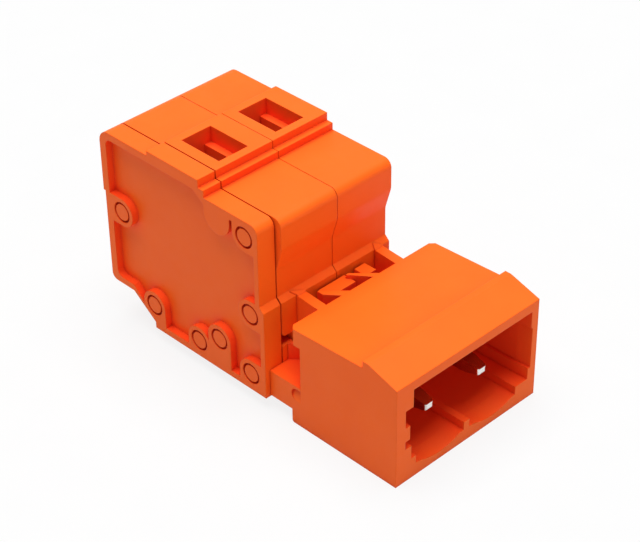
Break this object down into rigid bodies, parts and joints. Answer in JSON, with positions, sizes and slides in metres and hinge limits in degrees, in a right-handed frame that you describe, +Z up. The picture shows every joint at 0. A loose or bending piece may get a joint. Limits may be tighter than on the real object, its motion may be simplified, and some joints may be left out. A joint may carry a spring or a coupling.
{
  "type": "pluggable terminal block",
  "caption": "Pluggable male terminal block: clamp housings on an end plate, with square pins in a mating shroud.",
  "frame": {"origin": "middle of the base of the overall box", "axes": "+X across the poles away from the end plate, +Y from the mating face back to the conductor entries, +Z up through the screwdriver openings"},
  "size_m": [0.0138, 0.0272, 0.0156],
  "materials": {
    "orange_plastic": "smooth moulded polyamide, satin",
    "tinned_copper": "bright tin plate",
    "spring_steel": "rolled stainless strip"
  },
  "bodies": {
    "root": {"end_plate": "orange_plastic", "pole_housing_1": "orange_plastic", "pole_housing_2": "orange_plastic", "mating_shroud": "orange_plastic", "contact_bar_1": "tinned_copper", "contact_bar_2": "tinned_copper", "clamp_spring_1": "spring_steel", "clamp_spring_2": "spring_steel"}
  },
  "joints": []
}
